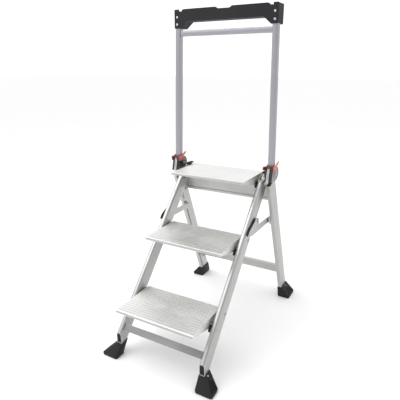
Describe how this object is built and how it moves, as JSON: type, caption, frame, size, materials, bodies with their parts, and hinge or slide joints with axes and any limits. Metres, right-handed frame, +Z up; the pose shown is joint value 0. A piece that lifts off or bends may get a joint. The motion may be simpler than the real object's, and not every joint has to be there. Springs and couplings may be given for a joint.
{
  "type": "step stool",
  "caption": "Folding aluminium step stool with ribbed treads between sloping rails, a hinged rear frame, red latch levers and a tall folding handrail with a tool tray",
  "frame": {"origin": "middle of the footprint's bounding box, on the floor under the feet", "axes": "+Z up to the tool tray, -Y towards the side it is climbed from, +X the right-hand side of someone climbing it"},
  "size_m": [0.58, 0.904, 1.397],
  "materials": {
    "rail_aluminium": "satin extruded aluminium with a bright rolled front face",
    "sheet_aluminium": "satin sheet aluminium",
    "leg_aluminium": "satin extruded aluminium",
    "tread_aluminium": "pale satin ribbed extrusion",
    "anodised_tube": "anodised grey tube",
    "black_plastic": "matt black moulded plastic",
    "bracket_steel": "plated steel with a faint olive tone",
    "zinc_steel": "zinc-plated steel",
    "tray_plastic": "charcoal moulded plastic",
    "lever_plastic": "red-orange moulded plastic, darker towards the front"
  },
  "bodies": {
    "front_frame": {"front_rail_right": "rail_aluminium", "front_rail_left": "rail_aluminium", "rail_plug_right": "black_plastic", "rail_plug_left": "black_plastic", "rail_cap_right": "zinc_steel", "rail_cap_left": "zinc_steel", "front_foot_right": "black_plastic", "front_foot_left": "black_plastic", "front_foot_rivet_right": "zinc_steel", "front_foot_rivet_left": "zinc_steel", "front_crossbar": "sheet_aluminium", "tread_1_stop_right": "black_plastic", "tread_1_stop_left": "black_plastic", "tread_2_stop_right": "black_plastic", "tread_2_stop_left": "black_plastic", "tread_3_stop_right": "black_plastic", "tread_3_stop_left": "black_plastic", "spreader_pivot_pin_right": "zinc_steel", "spreader_pivot_pin_left": "zinc_steel", "main_pivot_pin_right": "zinc_steel", "main_pivot_pin_left": "zinc_steel"},
    "rear_frame": {"rear_leg_right": "leg_aluminium", "rear_leg_left": "leg_aluminium", "rear_foot_right": "black_plastic", "rear_foot_left": "black_plastic", "rear_foot_rivet_right": "zinc_steel", "rear_foot_rivet_left": "zinc_steel", "rear_top_tie": "sheet_aluminium", "rear_lower_tie": "sheet_aluminium", "hinge_housing_right": "black_plastic", "hinge_housing_left": "black_plastic", "housing_strip_right": "zinc_steel", "housing_strip_left": "zinc_steel"},
    "tread_panel_1": {"tread_1": "tread_aluminium", "tread_1_bracket_right": "bracket_steel", "tread_1_bracket_left": "bracket_steel"},
    "tread_panel_2": {"tread_2": "tread_aluminium", "tread_2_bracket_right": "bracket_steel", "tread_2_bracket_left": "bracket_steel"},
    "tread_panel_3": {"tread_3": "tread_aluminium", "tread_3_bracket_right": "bracket_steel", "tread_3_bracket_left": "bracket_steel"},
    "spreader_right": {"spreader_arm_right": "sheet_aluminium", "spreader_cap_right": "black_plastic", "spreader_guard_right": "black_plastic"},
    "slider_right": {"spreader_slider_right": "zinc_steel"},
    "spreader_left": {"spreader_arm_left": "sheet_aluminium", "spreader_cap_left": "black_plastic", "spreader_guard_left": "black_plastic"},
    "slider_left": {"spreader_slider_left": "zinc_steel"},
    "handrail": {"handrail_upright_right": "anodised_tube", "handrail_upright_left": "anodised_tube", "handrail_crossbar": "anodised_tube", "tool_tray": "tray_plastic", "tray_bolt_1_right": "zinc_steel", "tray_bolt_1_left": "zinc_steel", "tray_bolt_2_right": "zinc_steel", "tray_bolt_2_left": "zinc_steel"},
    "lever_right": {"latch_lever_right": "lever_plastic"},
    "lever_left": {"latch_lever_left": "lever_plastic"}
  },
  "joints": [
    {"name": "rear_fold", "type": "hinge", "parent": "front_frame", "child": "rear_frame", "pos_m": [0, 0.1334, 0.6733], "axis": [1, 0, 0], "range_deg": [-64.6, 0]},
    {"name": "tread_1_fold", "type": "hinge", "parent": "front_frame", "child": "tread_panel_1", "pos_m": [0, -0.24373, 0.227], "axis": [1, 0, 0], "range_deg": [-131.72, 0]},
    {"name": "tread_2_fold", "type": "hinge", "parent": "front_frame", "child": "tread_panel_2", "pos_m": [0, -0.0328, 0.464], "axis": [1, 0, 0], "range_deg": [-131.72, 0]},
    {"name": "tread_3_fold", "type": "hinge", "parent": "front_frame", "child": "tread_panel_3", "pos_m": [0, 0.17813, 0.701], "axis": [1, 0, 0], "range_deg": [-131.72, 0]},
    {"name": "spreader_right_fold", "type": "hinge", "parent": "front_frame", "child": "spreader_right", "pos_m": [0.2153, -0.012, 0.508], "axis": [1, 0, 0], "range_deg": [-133.15, 0]},
    {"name": "slider_right_run", "type": "slide", "parent": "rear_frame", "child": "slider_right", "axis": [0, 0.3896, -0.921], "range_m": [0, 0.2284]},
    {"name": "spreader_left_fold", "type": "hinge", "parent": "front_frame", "child": "spreader_left", "pos_m": [-0.2153, -0.012, 0.508], "axis": [1, 0, 0], "range_deg": [-133.15, 0]},
    {"name": "slider_left_run", "type": "slide", "parent": "rear_frame", "child": "slider_left", "axis": [0, 0.3896, -0.921], "range_m": [0, 0.2284]},
    {"name": "handrail_fold", "type": "hinge", "parent": "rear_frame", "child": "handrail", "pos_m": [0, 0.154, 0.719], "axis": [1, 0, 0], "range_deg": [-153, 0]},
    {"name": "lever_right_press", "type": "hinge", "parent": "rear_frame", "child": "lever_right", "pos_m": [0.2358, 0.112, 0.738], "axis": [1, 0, 0], "range_deg": [-12, 0], "stiffness_Nm_per_rad": 0.3, "springref_deg": 22.92},
    {"name": "lever_left_press", "type": "hinge", "parent": "rear_frame", "child": "lever_left", "pos_m": [-0.2358, 0.112, 0.738], "axis": [1, 0, 0], "range_deg": [-12, 0], "stiffness_Nm_per_rad": 0.3, "springref_deg": 22.92}
  ],
  "couplings": [
    {"joint": "tread_1_fold", "follows": "rear_fold", "ratio": 2.0382},
    {"joint": "tread_2_fold", "follows": "rear_fold", "ratio": 2.0382},
    {"joint": "tread_3_fold", "follows": "rear_fold", "ratio": 2.0382},
    {"joint": "spreader_right_fold", "follows": "rear_fold", "ratio": 2.0603},
    {"joint": "slider_right_run", "follows": "rear_fold", "m_per_rad": -0.20214},
    {"joint": "spreader_left_fold", "follows": "rear_fold", "ratio": 2.0603},
    {"joint": "slider_left_run", "follows": "rear_fold", "m_per_rad": -0.20214}
  ]
}
